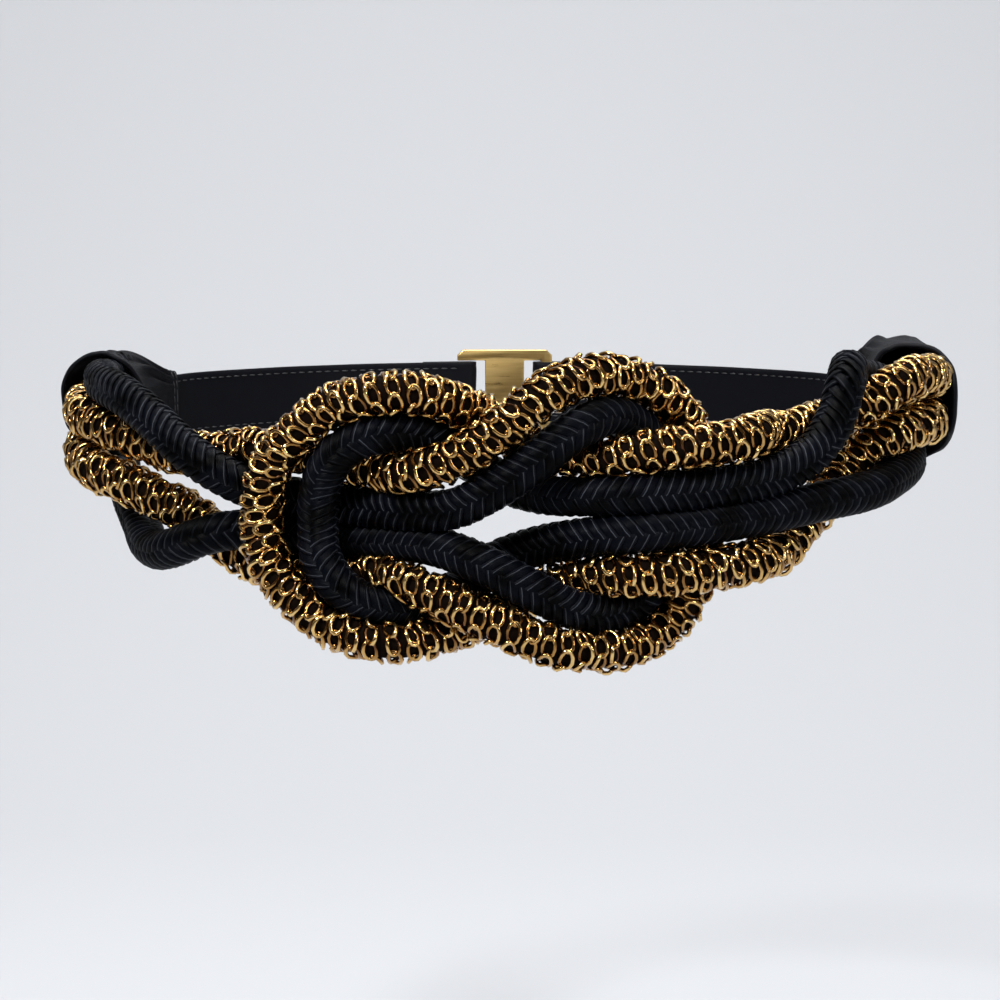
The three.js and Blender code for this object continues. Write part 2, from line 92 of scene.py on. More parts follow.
BIGHT_B_GOLD_ROUTE = [
    (-0.188, -0.0046, 0.0182), (-0.172, -0.0046, 0.0182), (-0.156, -0.003, 0.0182),
    (-0.144, -0.001, 0.017), (-0.134, 0, 0.015), (-0.124, -0.0005, 0.0115), (-0.114, -0.001, 0.008),
    (-0.102, 0.0015, 0.007), (-0.091, 0.0045, 0.007), (-0.083, 0.0072, 0.007),
    (-0.075, 0.0098, 0.007), (-0.066, 0.0104, 0.007), (-0.056, 0.01, 0.007),
    (-0.047, 0.0095, 0.007), (-0.036, 0.0085, 0.0105), (-0.025, 0.0095, 0.0178),
    (-0.012, 0.0145, 0.0212), (0, 0.024, 0.0218), (0.01, 0.033, 0.02), (0.022, 0.0377, 0.013),
    (0.0355, 0.0362, 0.008), (0.047, 0.0298, 0.007), (0.0556, 0.0186, 0.007), (0.06, 0.005, 0.007),
    (0.0604, -0.009, 0.007), (0.0586, -0.0245, 0.007), (0.0535, -0.036, 0.0073),
    (0.042, -0.0443, 0.01, 0.95), (0.028, -0.0462, 0.015, 0.94), (0.014, -0.0436, 0.0205, 0.96),
    (0, -0.0376, 0.0216), (-0.012, -0.0315, 0.0205), (-0.024, -0.0258, 0.0174, 0.84),
    (-0.036, -0.0238, 0.011, 0.78), (-0.047, -0.0255, 0.007, 0.85), (-0.058, -0.0268, 0.007, 0.92),
    (-0.07, -0.0272, 0.007, 0.95), (-0.08, -0.0268, 0.007), (-0.09, -0.0232, 0.007),
    (-0.102, -0.0185, 0.0085), (-0.114, -0.0165, 0.012), (-0.124, -0.0156, 0.0143),
    (-0.136, -0.0155, 0.0174), (-0.148, -0.0168, 0.0178), (-0.16, -0.018, 0.0178),
    (-0.172, -0.0192, 0.0182), (-0.188, -0.0192, 0.0182),
]
WAIST_HALF_WIDTH = 0.125
WAIST_HALF_DEPTH = 0.094
WAIST_SIDE_RADIUS = 0.068
FRONT_DROP = 0.026
BACK_RISE = 0.005
BELT_LEVEL_FROM = 0.222
CAP_RUN = {"left": 0.058, "right": 0.050}
CAP_PRESS = {"left": 0.4, "right": 0.5}
CAP_MIDDLE = {"left": (0.002, 0.0115), "right": (-0.0027, 0.0133)}
POINTS_A_ROW = 24
FRONT_ARC_RADIUS = (
    WAIST_HALF_WIDTH**2 + WAIST_HALF_DEPTH**2 - 2 * WAIST_HALF_WIDTH * WAIST_SIDE_RADIUS
) / (2 * (WAIST_HALF_DEPTH - WAIST_SIDE_RADIUS))
FRONT_ARC_ANGLE = math.atan2(
    WAIST_HALF_WIDTH - WAIST_SIDE_RADIUS, FRONT_ARC_RADIUS - WAIST_HALF_DEPTH
)
FRONT_ARC_LENGTH = FRONT_ARC_RADIUS * FRONT_ARC_ANGLE
SIDE_ARC_LENGTH = WAIST_SIDE_RADIUS * (math.pi - 2 * FRONT_ARC_ANGLE)


def on_waist(around, up, lift):
    """Points along the waist, above the belt line and off the waist, as rows of x, y, z."""
    around, up, lift = np.broadcast_arrays(around, up, lift)
    distance = np.abs(around)
    in_front = distance < FRONT_ARC_LENGTH
    behind = distance >= FRONT_ARC_LENGTH + SIDE_ARC_LENGTH
    past_side = distance - FRONT_ARC_LENGTH - SIDE_ARC_LENGTH
    turn = FRONT_ARC_ANGLE + (distance - FRONT_ARC_LENGTH) / WAIST_SIDE_RADIUS
    turn = np.where(in_front, distance / FRONT_ARC_RADIUS, turn)
    turn = np.where(behind, math.pi - FRONT_ARC_ANGLE + past_side / FRONT_ARC_RADIUS, turn)
    centre = FRONT_ARC_RADIUS - WAIST_HALF_DEPTH
    centre_x = np.where(in_front | behind, 0, WAIST_HALF_WIDTH - WAIST_SIDE_RADIUS)
    centre_y = np.where(in_front, centre, np.where(behind, -centre, 0))
    reach = np.where(in_front | behind, FRONT_ARC_RADIUS, WAIST_SIDE_RADIUS) + lift
    rise = np.sin(np.pi / 2 * np.minimum(1, distance / BELT_LEVEL_FROM)) ** 3
    return np.stack((
        np.where(around < 0, -1, 1) * (centre_x + reach * np.sin(turn)),
        centre_y - reach * np.cos(turn),
        up - FRONT_DROP + (FRONT_DROP + BACK_RISE) * rise,
    ), -1)


def unit(vectors):
    return vectors / np.linalg.norm(vectors, axis=1)[:, None]


def square_to(heading, vectors):
    """Unit vectors square to the heading, each in the plane of the heading and its vector."""
    return unit(vectors - heading * (vectors * heading).sum(1)[:, None])


def distances_along(points):
    """How far each point lies from the first, along the line through all of them."""
    return np.concatenate(((0,), np.cumsum(np.linalg.norm(np.diff(points, axis=0), axis=1))))


def ease(share):
    """A share from 0 to 1 that starts and ends gently, and stays at 0 or 1 past its ends."""
    share = np.clip(share, 0, 1)
    return share * share * (3 - 2 * share)


def rope_path(rows, step, gather):
    """Even stations along a rope: middle, heading, outward and sideways vectors, squeeze.

    The soft ropes press into each other, so they are shown only half as squeezed. Towards
    its cap a rope is pressed thinner, and gathered by a share of its way to the middle."""
    rows = np.array([(*row, 1.0)[:4] for row in rows])
    ends = 2 * rows[[0, -1]] - rows[[1, -2]]
    rows = np.vstack((ends[:1], rows, ends[1:]))
    pieces = []
    for before, start, end, after in zip(rows, rows[1:], rows[2:], rows[3:]):
        gaps = [np.linalg.norm((b - a)[:3]) ** 0.5
                for a, b in ((before, start), (start, end), (end, after))]
        leave = (start - before) / gaps[0] - (end - before) / (gaps[0] + gaps[1])
        leave = (leave + (end - start) / gaps[1]) * gaps[1]
        arrive = (end - start) / gaps[1] - (after - start) / (gaps[1] + gaps[2])
        arrive = (arrive + (after - end) / gaps[2]) * gaps[1]
        share = np.linspace(0, 1, POINTS_A_ROW, endpoint=False)[:, None]
        piece = start + leave * share
        piece += (3 * (end - start) - 2 * leave - arrive) * share**2
        piece += (2 * (start - end) + leave + arrive) * share**3
        piece[:, 3] = (start + (end - start) * share)[:, 3]
        pieces.append(piece)
    fine = np.vstack((*pieces, rows[-2:-1]))
    points = on_waist(fine[:, 0], fine[:, 1], fine[:, 2])
    along = distances_along(points)
    cap = "left" if rows[1, 0] < 0 else "right"
    inside = ease(1 - np.minimum(along, along[-1] - along) / CAP_RUN[cap])
    fine[:, 1:3] += (np.array(CAP_MIDDLE[cap]) - fine[:, 1:3]) * gather * inside[:, None]
    fine[:, 3] = (0.5 + 0.5 * fine[:, 3]) * (1 - CAP_PRESS[cap] * inside)
    points = on_waist(fine[:, 0], fine[:, 1], fine[:, 2])
    off_waist = on_waist(fine[:, 0], fine[:, 1], fine[:, 2] + 0.001) - points
    along = distances_along(points)
    count = round(along[-1] / step)
    stations = np.linspace(0, along[-1], count + 1)

    def at_stations(values):
        return np.stack([np.interp(stations, along, v) for v in values.T], -1)

    middle = at_stations(points)
    heading = unit(np.gradient(middle, axis=0))
    outward = square_to(heading, at_stations(off_waist))
    return {
        "along": stations, "middle": middle, "heading": heading, "outward": outward,
        "sideways": np.cross(heading, outward),
        "squeeze": at_stations(fine[:, 3:])[:, 0],
    }


def mesh_piece(name, corners, faces, uv=None):
    """A shown piece from corner and face arrays, with a UV pair for each corner."""
    mesh = bpy.data.meshes.new(name)
    mesh.from_pydata(corners.tolist(), [], [list(face) for face in faces])
    if uv is not None:
        layer = mesh.uv_layers.new(name="UVMap")
        loops = np.zeros(len(mesh.loops), np.int32)
        mesh.loops.foreach_get("vertex_index", loops)
        layer.data.foreach_set("uv", uv[loops].astype(np.float32).ravel())
    mesh.polygons.foreach_set("use_smooth", [True] * len(mesh.polygons))
    piece = bpy.data.objects.new(name, mesh)
    bpy.context.scene.collection.objects.link(piece)
    return piece


def deselect_all():
    for shown in bpy.context.selected_objects:
        shown.select_set(False)


def new_material(name):
    """A new material, with its nodes, their links and its shader."""
    material = bpy.data.materials.new(name)
    material.use_nodes = True
    nodes = material.node_tree.nodes
    return material, nodes, material.node_tree.links, nodes["Principled BSDF"]


LINK_WIRE = 0.00145
LINK_HALF_WIDTH = 0.00208
LINK_HALF_LENGTH = 0.0034
LINK_TWIST = math.radians(24)
LINK_LEAN = math.radians(16)
LINK_END_RISE = 0.0004
LINK_LEAN_SPREAD = 0.12
LINK_SLIDE_SPREAD = 0.03
LINK_SHIFT_SPREAD = 0.00018
LINK_LIFT_SPREAD = 0.00015
LINKS_A_TURN = 6.5
CHAIN_PITCH = 0.0053
CHAIN_RADIUS = 0.0060
CHAIN_DRIFT = 1.003
CHAIN_DEPTH = 0.0028
CORE_RADIUS = 0.0053
CORE_STEP = 0.003
CORE_SIDES = 16
GOLD_GATHER = 0.32

# One link: a ring of wire pulled to an oval and twisted, as a curb link is.
deselect_all()
bpy.ops.mesh.primitive_torus_add(
    major_segments=12, minor_segments=5,
    major_radius=LINK_HALF_WIDTH, minor_radius=LINK_WIRE / 2)
link = bpy.context.object
for corner in link.data.vertices:
    endward = corner.co.x / math.hypot(corner.co.x, corner.co.y)
    corner.co.x += (LINK_HALF_LENGTH - LINK_HALF_WIDTH) * endward
twist = link.modifiers.new("twist", "SIMPLE_DEFORM")
twist.deform_method = "TWIST"
twist.deform_axis = "X"
twist.angle = LINK_TWIST
bpy.ops.object.modifier_apply(modifier="twist")
link_corners = np.array([corner.co for corner in link.data.vertices])
link_faces = np.array([list(face.vertices) for face in link.data.polygons])
bpy.data.objects.remove(link)

# Polished plating with painted shade: pale gold where the wire stands proud, painted brown shade
# deep between the links. U is the height above the cord, and V is one value for each link.
gold_plate, nodes, links, shader = new_material("gold_plate")
shader.inputs["Metallic"].default_value = 1.0
shader.inputs["Coat Weight"].default_value = 0.35
shader.inputs["Coat Roughness"].default_value = 0.08
place = nodes.new("ShaderNodeTexCoord")
parts = nodes.new("ShaderNodeSeparateXYZ")
links.new(place.outputs["UV"], parts.inputs["Vector"])
tarnish = nodes.new("ShaderNodeTexNoise")
tarnish.inputs["Scale"].default_value = 240
tarnish.inputs["Detail"].default_value = 3
links.new(place.outputs["Object"], tarnish.inputs["Vector"])
uneven = nodes.new("ShaderNodeMath")
uneven.operation = "MULTIPLY_ADD"
uneven.inputs[1].default_value = 0.35
links.new(tarnish.outputs["Fac"], uneven.inputs[0])
links.new(parts.outputs["X"], uneven.inputs[2])
# The ramp paints the shade: dark brown low between the links and pale gold on the proud wire,
# shifted at random by the noise.
tint = nodes.new("ShaderNodeValToRGB")
tint.color_ramp.elements[0].position = 0.2
tint.color_ramp.elements[0].color = (0.08, 0.026, 0.005, 1)
tint.color_ramp.elements[1].position = 1.0
tint.color_ramp.elements[1].color = (0.74, 0.50, 0.19, 1)
middle_gold = tint.color_ramp.elements.new(0.6)
middle_gold.color = (0.37, 0.19, 0.045, 1)
links.new(uneven.outputs["Value"], tint.inputs["Fac"])
links.new(tint.outputs["Color"], shader.inputs["Base Color"])
wear = nodes.new("ShaderNodeMapRange")
wear.inputs["To Min"].default_value = 0.12
wear.inputs["To Max"].default_value = 0.25
links.new(parts.outputs["Y"], wear.inputs["Value"])
links.new(wear.outputs["Result"], shader.inputs["Roughness"])

# The cord inside the chain: matt black thread, its colour tinted warm brown as a painted reflection
# of the gold round it, with its braid as a low relief.
core_cord, nodes, links, shader = new_material("core_cord")
shader.inputs["Base Color"].default_value = (0.0045, 0.0021, 0.0011, 1)
shader.inputs["Roughness"].default_value = 0.85
shader.inputs["Specular IOR Level"].default_value = 0.04
place = nodes.new("ShaderNodeTexCoord")
threads = nodes.new("ShaderNodeTexWave")
threads.bands_direction = "DIAGONAL"
threads.inputs["Scale"].default_value = 160
links.new(place.outputs["Object"], threads.inputs["Vector"])
relief = nodes.new("ShaderNodeBump")
relief.inputs["Strength"].default_value = 0.5
relief.inputs["Distance"].default_value = 0.0003
links.new(threads.outputs["Fac"], relief.inputs["Height"])
links.new(relief.outputs["Normal"], shader.inputs["Normal"])


def ring_faces(rings, sides):
    """Faces between rings of corners that turn the right-hand way about their order."""
    first = (np.arange(rings - 1) * sides)[:, None] + np.arange(sides)[None]
    following = (np.arange(rings - 1) * sides)[:, None] + (np.arange(sides) + 1)[None] % sides
    return np.stack((first, following, following + sides, first + sides), -1).reshape(-1, 4)


def closed_tube(rings):
    """Corners and faces of rings of corners, closed with a fan at each end."""
    count, sides = rings.shape[:2]
    corners = np.vstack((rings.reshape(-1, 3), rings[[0, -1]].mean(axis=1)))
    around = np.arange(sides)
    last = (count - 1) * sides
    ends = [np.stack((around, np.full(sides, count * sides), (around + 1) % sides), -1)]
    ends.append(np.stack(
        (last + (around + 1) % sides, np.full(sides, count * sides + 1), last + around), -1))
    return corners, ring_faces(count, sides).tolist() + np.vstack(ends).tolist()


rng = np.random.default_rng(7)
for bight, route in (("a", BIGHT_A_GOLD_ROUTE), ("b", BIGHT_B_GOLD_ROUTE)):
    # Each link is bent round the rope: its length runs on along the winding, its width
    # along the rope, and its height away from the rope's middle.
    path = rope_path(route, CHAIN_PITCH / LINKS_A_TURN, GOLD_GATHER)
    count = len(path["along"]) - 2
    link_x, link_y, link_z = link_corners.T[:, None]
    lean = LINK_LEAN * (-1.0) ** np.arange(count)
    lean = lean + rng.normal(0, LINK_LEAN_SPREAD, count)
    slide, shift, lift = rng.normal(0, 1, (3, count, 1))
    lean = lean[:, None]
    place = 1 + np.arange(count)[:, None] + LINK_SLIDE_SPREAD * slide
    place = place + link_x / (2 * np.pi * CHAIN_RADIUS / LINKS_A_TURN)
    width = link_y * np.cos(lean) - link_z * np.sin(lean) + LINK_SHIFT_SPREAD * shift
    height = link_y * np.sin(lean) + link_z * np.cos(lean) + LINK_LIFT_SPREAD * lift
    height = height + LINK_END_RISE * np.sin(np.pi / 2 * link_x / LINK_HALF_LENGTH)
    turn = (place * 2 * np.pi / LINKS_A_TURN * CHAIN_DRIFT)[..., None]
    middle, heading, outward, sideways = (
        np.stack([np.interp(place, np.arange(count + 2), v) for v in path[key].T], -1)
        for key in ("middle", "heading", "outward", "sideways"))
    squeeze = np.interp(place, np.arange(count + 2), path["squeeze"])
    spoke = outward * np.cos(turn) + sideways * np.sin(turn)
    reach = CHAIN_RADIUS * squeeze + height
    corners = middle + heading * width[..., None] + spoke * reach[..., None]
    # How high each corner stands above the cord; the plating's colour ramp paints shade by it.
    depth = (reach - CORE_RADIUS * squeeze) / CHAIN_DEPTH
    uv = np.stack(np.broadcast_arrays(depth, rng.random((count, 1))), -1)
    first_corner = np.arange(count)[:, None, None] * len(link_corners)
    faces = (link_faces[None] + first_corner).reshape(-1, 4)
    chain = mesh_piece(
        f"bight_{bight}_gold_chain", corners.reshape(-1, 3), faces, uv.reshape(-1, 2))
    chain.data.materials.append(gold_plate)
    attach(chain, "root")
    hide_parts(f"bight_{bight}_gold_rope")

    path = rope_path(route, CORE_STEP, GOLD_GATHER)
    angle = np.linspace(0, 2 * np.pi, CORE_SIDES, endpoint=False)
    spoke = path["outward"][:, None] * np.cos(angle)[None, :, None]
    spoke = spoke + path["sideways"][:, None] * np.sin(angle)[None, :, None]
    reach = CORE_RADIUS * path["squeeze"][:, None, None]
    corners, faces = closed_tube(path["middle"][:, None] + spoke * reach)
    core = mesh_piece(f"bight_{bight}_gold_core", corners, faces)
    core.data.materials.append(core_cord)
    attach(core, "root")
    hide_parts(f"bight_{bight}_gold_rope")

# The black ropes are the inner rope of each bight: a round braid of twelve flat strands
# of satin thread, six each way round. Each strand runs over the others for a quarter of
# a turn and under them for the next, so that the strands meet in a row of chevrons.
BIGHT_A_BLACK_ROUTE = [
    (0.188, 0.0012, 0.007), (0.172, 0.0012, 0.007), (0.158, 0.003, 0.006), (0.146, 0.008, 0.0055),
    (0.134, 0.0145, 0.0055), (0.124, 0.0188, 0.0056), (0.117, 0.0234, 0.0076, 0.92),
    (0.109, 0.0258, 0.014), (0.1018, 0.0228, 0.0195), (0.0968, 0.014, 0.0208),
    (0.089, 0.0059, 0.0204), (0.0755, 0.0018, 0.02), (0.06, 0.0018, 0.0198),
    (0.046, 0.0018, 0.0198), (0.033, 0.0017, 0.018, 0.95), (0.021, 0.0012, 0.013, 0.93),
    (0.01, 0.0016, 0.0066), (-0.001, 0.005, 0.0055), (-0.011, 0.012, 0.0055),
    (-0.021, 0.0195, 0.0095), (-0.034, 0.0204, 0.0175), (-0.044, 0.0148, 0.02),
    (-0.0505, 0.004, 0.019), (-0.052, -0.009, 0.018), (-0.0505, -0.0185, 0.02),
    (-0.044, -0.0282, 0.02), (-0.0335, -0.0334, 0.015, 0.72), (-0.023, -0.033, 0.0075, 0.76),
    (-0.013, -0.027, 0.0054, 0.88), (-0.003, -0.0195, 0.0055), (0.008, -0.015, 0.007),
    (0.02, -0.0118, 0.0125, 0.95), (0.034, -0.0101, 0.0185), (0.052, -0.0094, 0.0198),
    (0.072, -0.0094, 0.0198), (0.092, -0.01, 0.0202), (0.108, -0.012, 0.0206),
    (0.117, -0.0128, 0.02), (0.127, -0.0136, 0.0175), (0.14, -0.0149, 0.0145),
    (0.156, -0.0156, 0.011), (0.172, -0.0152, 0.009), (0.188, -0.0152, 0.009),
]
BIGHT_B_BLACK_ROUTE = [
    (-0.188, 0.0045, 0.009), (-0.172, 0.0045, 0.009), (-0.156, 0.009, 0.0105),
    (-0.144, 0.012, 0.0135), (-0.132, 0.014, 0.017), (-0.12, 0.0145, 0.0192),
    (-0.108, 0.012, 0.0202), (-0.097, 0.0072, 0.0206), (-0.089, 0.0035, 0.02), (-0.082, 0, 0.017),
    (-0.077, -0.0026, 0.0125), (-0.071, -0.004, 0.0076), (-0.062, -0.004, 0.0056),
    (-0.049, -0.004, 0.0056), (-0.038, -0.0038, 0.008), (-0.026, -0.0033, 0.013),
    (-0.014, -0.0017, 0.018), (-0.003, 0.0046, 0.0203), (0.008, 0.0133, 0.0208),
    (0.018, 0.0216, 0.019), (0.028, 0.0256, 0.013, 0.95), (0.0363, 0.0228, 0.0078),
    (0.0438, 0.0152, 0.0058), (0.047, 0.004, 0.0055), (0.0471, -0.012, 0.0055),
    (0.045, -0.025, 0.0058), (0.0385, -0.0328, 0.0075), (0.028, -0.0348, 0.0125, 0.95),
    (0.018, -0.0324, 0.018, 0.97), (0.007, -0.026, 0.0206), (-0.005, -0.019, 0.0195),
    (-0.017, -0.0144, 0.015, 0.95), (-0.03, -0.0136, 0.009, 0.86), (-0.044, -0.015, 0.0054, 0.82),
    (-0.06, -0.0154, 0.0055, 0.92), (-0.07, -0.0153, 0.0072, 0.92), (-0.077, -0.0158, 0.0125),
    (-0.082, -0.017, 0.017), (-0.089, -0.0203, 0.02), (-0.098, -0.026, 0.02),
    (-0.1085, -0.0308, 0.0165), (-0.119, -0.0324, 0.012), (-0.1295, -0.031, 0.007),
    (-0.14, -0.0262, 0.0055), (-0.151, -0.0193, 0.0055), (-0.163, -0.0125, 0.006),
    (-0.174, -0.0118, 0.007), (-0.188, -0.0118, 0.007),
]
BLACK_GATHER = {"a": 0.3, "b": 0.0}
BRAID_STEP = 0.001
BRAID_LEAD = 0.0202
BRAID_RADIUS = 0.0052
BRAID_RISE = 0.0005
BRAID_LAY = math.radians(45)
STRAND_HALF_WIDTH = 0.0018
STRAND_HALF_THICKNESS = 0.0007
STRAND_TILT = math.radians(15)
STRANDS_EACH_WAY = 6
STRAND_SIDES = 10
STRAND_CROSSING = 2.4
STRAND_THREAD_RUN = 40

# The braid's colour is near-black thread with a thin grey painted highlight line near one edge of
# each strand, broken up and faded by noise.
satin_cord, nodes, links, shader = new_material("satin_cord")
shader.inputs["Roughness"].default_value = 0.42
shader.inputs["Specular IOR Level"].default_value = 0.04
place = nodes.new("ShaderNodeTexCoord")
parts = nodes.new("ShaderNodeSeparateXYZ")
links.new(place.outputs["UV"], parts.inputs["Vector"])
# Fine noise and coarse noise shift the painted highlight lines and fade them in patches.
highlight_jitter = nodes.new("ShaderNodeTexNoise")
highlight_jitter.inputs["Scale"].default_value = 420
highlight_jitter.inputs["Detail"].default_value = 2
links.new(place.outputs["Object"], highlight_jitter.inputs["Vector"])
highlight_patches = nodes.new("ShaderNodeTexNoise")
highlight_patches.inputs["Scale"].default_value = 110
links.new(place.outputs["Object"], highlight_patches.inputs["Vector"])
shifted = nodes.new("ShaderNodeMath")
shifted.operation = "MULTIPLY_ADD"
shifted.inputs[1].default_value = 0.16
links.new(highlight_patches.outputs["Fac"], shifted.inputs[0])
links.new(parts.outputs["Y"], shifted.inputs[2])
uneven = nodes.new("ShaderNodeMath")
uneven.operation = "MULTIPLY_ADD"
uneven.inputs[1].default_value = 0.14
links.new(highlight_jitter.outputs["Fac"], uneven.inputs[0])
links.new(shifted.outputs["Value"], uneven.inputs[2])
# The ramp's narrow grey band is the painted highlight line.
tint = nodes.new("ShaderNodeValToRGB")
tint.color_ramp.elements[0].position = 0.90
tint.color_ramp.elements[0].color = (0.0009, 0.0012, 0.0025, 1)
tint.color_ramp.elements[1].position = 0.97
tint.color_ramp.elements[1].color = (0.034, 0.037, 0.044, 1)
dark_edge = tint.color_ramp.elements.new(1.0)
dark_edge.color = (0.003, 0.0034, 0.0052, 1)
links.new(uneven.outputs["Value"], tint.inputs["Fac"])
faint = nodes.new("ShaderNodeMapRange")
faint.inputs["From Min"].default_value = 0.38
faint.inputs["From Max"].default_value = 0.62
faint.inputs["To Min"].default_value = 0.15
faint.inputs["To Max"].default_value = 1.7
links.new(highlight_patches.outputs["Fac"], faint.inputs["Value"])
faded = nodes.new("ShaderNodeVectorMath")
faded.operation = "SCALE"
links.new(tint.outputs["Color"], faded.inputs[0])
links.new(faint.outputs["Result"], faded.inputs["Scale"])
links.new(faded.outputs["Vector"], shader.inputs["Base Color"])
threads = nodes.new("ShaderNodeTexWave")
threads.bands_direction = "Y"
threads.inputs["Scale"].default_value = 2.6
threads.inputs["Distortion"].default_value = 0.6
links.new(place.outputs["UV"], threads.inputs["Vector"])
relief = nodes.new("ShaderNodeBump")
relief.inputs["Strength"].default_value = 0.5
relief.inputs["Distance"].default_value = 0.00012
links.new(threads.outputs["Fac"], relief.inputs["Height"])
links.new(relief.outputs["Normal"], shader.inputs["Normal"])

for bight, route in (("a", BIGHT_A_BLACK_ROUTE), ("b", BIGHT_B_BLACK_ROUTE)):
    path = rope_path(route, BRAID_STEP, BLACK_GATHER[bight])
    all_corners, all_faces, all_uv = [], [], []
    for hand in (1, -1):
        for strand in range(STRANDS_EACH_WAY):
            offset = (strand + (0.5 if hand < 0 else 0)) * 2 * np.pi / STRANDS_EACH_WAY
            turn = hand * 2 * np.pi * path["along"] / BRAID_LEAD + offset
            over = -hand * np.tanh(STRAND_CROSSING * np.cos(2 * (turn - BRAID_LAY)))
            spoke = path["outward"] * np.cos(turn)[:, None]
            spoke = spoke + path["sideways"] * np.sin(turn)[:, None]
            reach = (BRAID_RADIUS + BRAID_RISE * over) * path["squeeze"]
            line = path["middle"] + spoke * reach[:, None]
            forward = unit(np.gradient(line, axis=0))
            out = square_to(forward, spoke)
            across = np.cross(out, forward)
            angle = np.linspace(0, 2 * np.pi, STRAND_SIDES, endpoint=False)
            wide = STRAND_HALF_WIDTH * np.cos(angle)
            thick = STRAND_HALF_THICKNESS * np.sin(angle)
            lean = STRAND_TILT * hand
            flat = wide * math.cos(lean) - thick * math.sin(lean)
            high = wide * math.sin(lean) + thick * math.cos(lean)
            rings = line[:, None] + across[:, None] * flat[None, :, None]
            rings = rings + out[:, None] * high[None, :, None]
            corners, faces = closed_tube(rings)
            # V runs across each strand; the colour ramp paints the highlight line near its edge by
            # it.
            uv = np.stack(np.broadcast_arrays(
                path["along"][:, None] * STRAND_THREAD_RUN,
                0.5 + 0.5 * hand * np.cos(angle)[None]), -1)
            before = sum(map(len, all_corners))
            all_faces += [[corner + before for corner in face] for face in faces]
            all_corners.append(corners)
            all_uv += [uv.reshape(-1, 2), uv[[0, -1], 0]]
    rope = mesh_piece(
        f"bight_{bight}_black_braid", np.vstack(all_corners), all_faces, np.vstack(all_uv))
    rope.data.materials.append(satin_cord)
    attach(rope, "root")
    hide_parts(f"bight_{bight}_black_rope")

# The end caps are black satin, gathered over the four rope ends on each side. Each is a
# sleeve with a rolled hem at its mouth, pleats that deepen to its neck, and a flat neck
# that is sewn to the back strap.
STRAP_WIDTH = 0.022
STRAP_THICKNESS = 0.0016
STRAP_LIFT = 0.0028
STRAP_UP = -0.015
CAP_NECK = 0.210
CAP_MOUTH_LEAN = {"left": 0.006, "right": 0.001}
CAP_MOUTH_AT = {"left": 0.180, "right": 0.168}
CAP_MOUTH_OUT = {"left": 0.002, "right": 0.015}
CAP_TOP = {"left": 0.0112, "right": 0.0158}
CAP_TOP_FALL = {"left": 0.2, "right": 0.17}
CAP_ROPES_END = {"left": 0.34, "right": 0.52}
CAP_BOTTOM = {"left": -0.0255, "right": -0.0224}
CAP_BUNDLE_LIFT = 0.0128
CAP_BUNDLE_HALF_LIFT = 0.0136
CAP_NECK_HALF = (0.0128, 0.0026)
CAP_NECK_SQUARE = 4.1
CAP_NECK_FULL = 0.95
CAP_TOP_SQUARE = {"left": 1.9, "right": 3.2}
CAP_BOTTOM_SQUARE = {"left": 3.2, "right": 2.1}
CAP_HEM = 0.0009
CAP_SEAM = 0.0006
CAP_PLEAT = 0.0007
CAP_WAVE = 0.0005
CAP_THIN_HALF_LIFT = 0.004
CAP_THIN_SWELL = 0.4
CAP_WALL = 0.0011
CAP_RINGS = 44
CAP_POINTS = 120
CAP_STITCHED_RINGS = (4, CAP_RINGS - 4, CAP_RINGS - 2)

satin_cloth, nodes, links, shader = new_material("satin_cloth")
shader.inputs["Base Color"].default_value = (0.0022, 0.0024, 0.0042, 1)
shader.inputs["Roughness"].default_value = 0.5
shader.inputs["Specular IOR Level"].default_value = 0.09
shader.inputs["Sheen Weight"].default_value = 0.015
shader.inputs["Sheen Roughness"].default_value = 0.35
place = nodes.new("ShaderNodeTexCoord")
weave = nodes.new("ShaderNodeTexWave")
weave.bands_direction = "DIAGONAL"
weave.inputs["Scale"].default_value = 180
weave.inputs["Distortion"].default_value = 0.8
links.new(place.outputs["UV"], weave.inputs["Vector"])
slubs = nodes.new("ShaderNodeTexNoise")
slubs.inputs["Scale"].default_value = 14
slubs.inputs["Detail"].default_value = 4
links.new(place.outputs["UV"], slubs.inputs["Vector"])
depth = nodes.new("ShaderNodeMath")
depth.operation = "MULTIPLY_ADD"
depth.inputs[1].default_value = 0.25
links.new(weave.outputs["Fac"], depth.inputs[0])
links.new(slubs.outputs["Fac"], depth.inputs[2])
relief = nodes.new("ShaderNodeBump")
relief.inputs["Strength"].default_value = 0.35
relief.inputs["Distance"].default_value = 0.0004
links.new(depth.outputs[0], relief.inputs["Height"])
links.new(relief.outputs["Normal"], shader.inputs["Normal"])

# The seams: short stitches of thicker black thread, each a stretched ball.
thread, nodes, links, shader = new_material("thread")
shader.inputs["Roughness"].default_value = 0.42
place = nodes.new("ShaderNodeTexCoord")
ply = nodes.new("ShaderNodeTexNoise")
ply.inputs["Scale"].default_value = 900
links.new(place.outputs["Object"], ply.inputs["Vector"])
tint = nodes.new("ShaderNodeValToRGB")
tint.color_ramp.elements[0].color = (0.006, 0.006, 0.008, 1)
tint.color_ramp.elements[1].color = (0.022, 0.022, 0.026, 1)
links.new(ply.outputs["Fac"], tint.inputs["Fac"])
links.new(tint.outputs["Color"], shader.inputs["Base Color"])
STITCH_RADIUS = 0.00026
STITCH_STRETCH = 4.6
STITCH_STEP = 0.0034
STITCH_INSET = 0.0022
SEAM_MARGIN = 0.002
deselect_all()
bpy.ops.mesh.primitive_uv_sphere_add(segments=6, ring_count=5, radius=STITCH_RADIUS)
stitch = bpy.context.object
stitch_corners = np.array([corner.co for corner in stitch.data.vertices])
stitch_corners = stitch_corners[:, [2, 0, 1]] * (STITCH_STRETCH, 1, 1)
